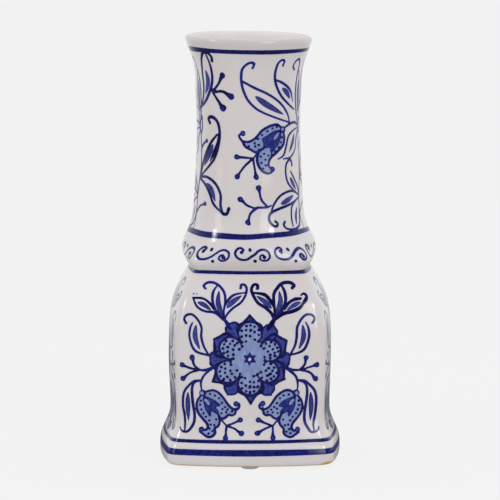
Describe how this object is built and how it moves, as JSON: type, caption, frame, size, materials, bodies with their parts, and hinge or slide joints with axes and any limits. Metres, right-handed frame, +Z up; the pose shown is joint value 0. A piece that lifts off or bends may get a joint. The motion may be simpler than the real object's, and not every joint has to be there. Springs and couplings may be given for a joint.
{
  "type": "vase",
  "caption": "Tall square-bodied vase with a flared foot, a bulging round collar and a trumpet neck with a rolled lip, hand-painted in blue on a white glaze.",
  "frame": {"origin": "centre of the base on the table plane, under the vase's axis, at the bottom of the bumper pads", "axes": "+Z up along the vase's axis, -Y out of the front panel, +X to the viewer's right when looking at the front panel"},
  "size_m": [0.109, 0.109, 0.254],
  "materials": {
    "white_glaze": "high gloss tin-white glaze with cobalt brushwork",
    "bare_clay": "matt unglazed buff earthenware",
    "clear_vinyl": "translucent soft vinyl"
  },
  "bodies": {
    "root": {"floor_slab": "bare_clay", "foot_band": "white_glaze", "front_wall": "white_glaze", "right_wall": "white_glaze", "back_wall": "white_glaze", "left_wall": "white_glaze", "collar_ring": "white_glaze", "neck_tube": "white_glaze", "lip_ring": "white_glaze", "bumper_pad_front": "clear_vinyl", "bumper_pad_right": "clear_vinyl", "bumper_pad_back": "clear_vinyl", "bumper_pad_left": "clear_vinyl"}
  },
  "joints": []
}
